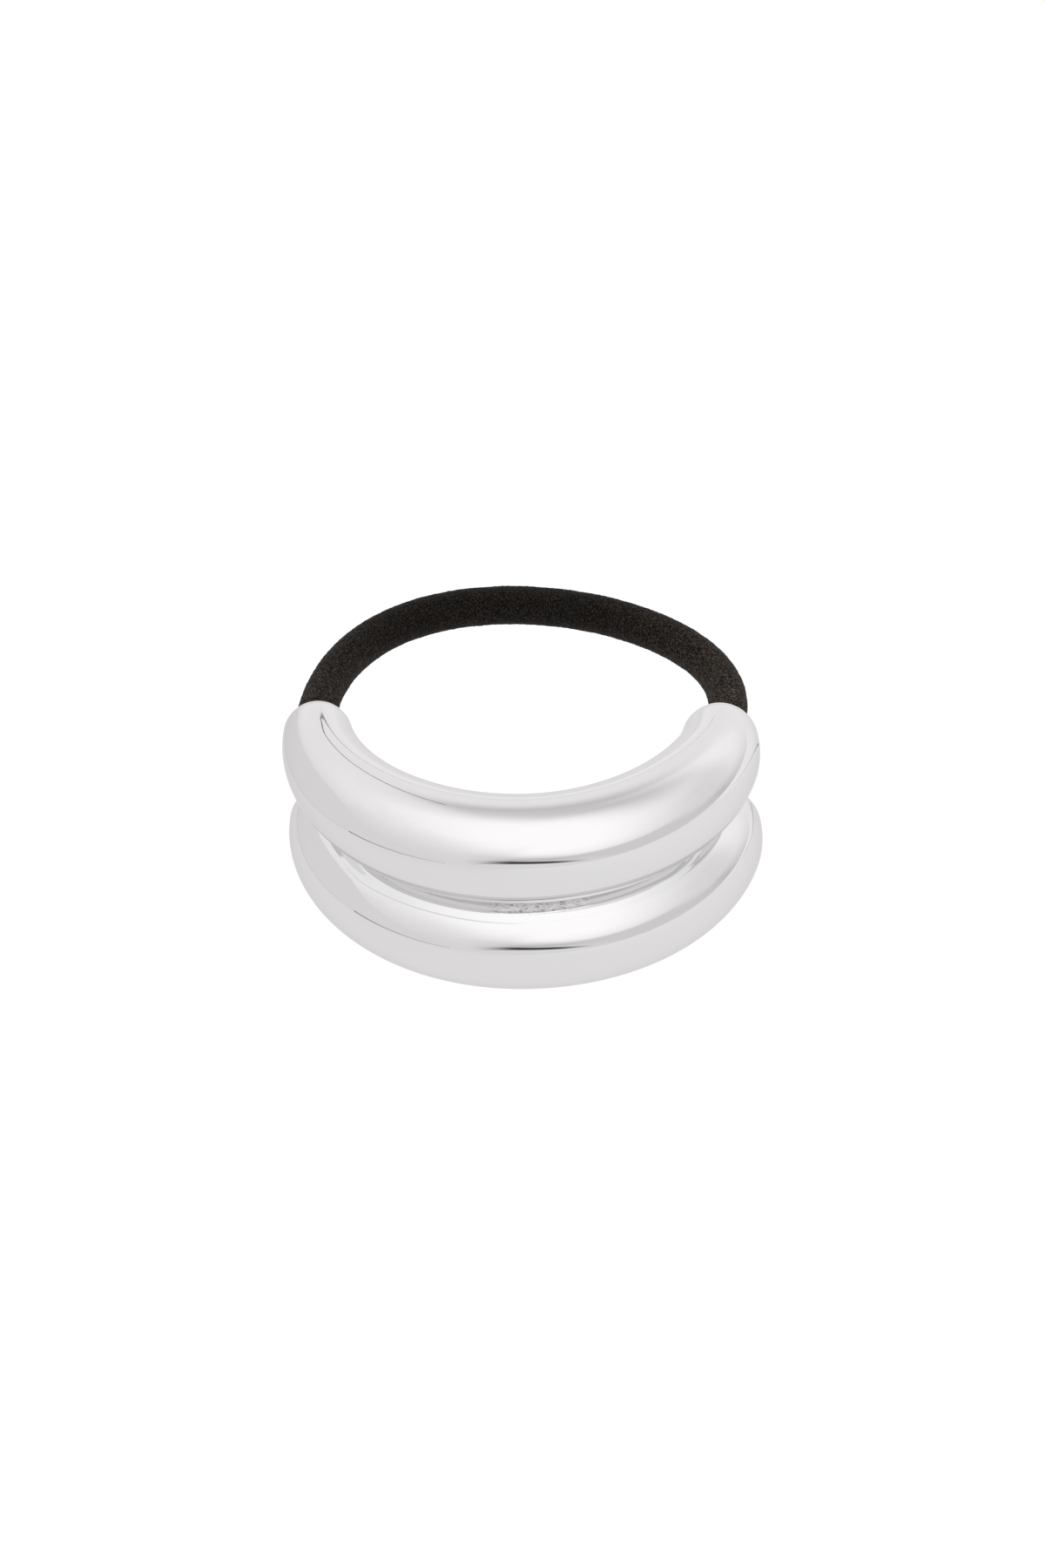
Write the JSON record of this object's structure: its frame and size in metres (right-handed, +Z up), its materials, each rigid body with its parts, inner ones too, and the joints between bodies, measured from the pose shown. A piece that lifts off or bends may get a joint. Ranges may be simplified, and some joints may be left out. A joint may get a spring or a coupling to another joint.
{
  "type": "hair tie with a double-tube metal cuff",
  "caption": "Ponytail hair tie: a mirror-bright metal cuff of puffed, tapered tubes bent half round and soldered one above the other, closed at the back by a covered elastic loop.",
  "frame": {"origin": "on the floor under the middle of the object's box, with the tie resting on its lower tube as it does on a table", "axes": "+Z up, the cuff faces -Y, the elastic closes the loop on the +Y side, +X towards the fuller tips"},
  "size_m": [0.055, 0.0558, 0.0247],
  "materials": {
    "plated_metal": "silver-coloured plate polished to a mirror",
    "elastic_cover": "matt black fine knitted cover with a short nap"
  },
  "bodies": {
    "root": {"double_tube_cuff": "plated_metal", "elastic_loop": "elastic_cover"}
  },
  "joints": []
}
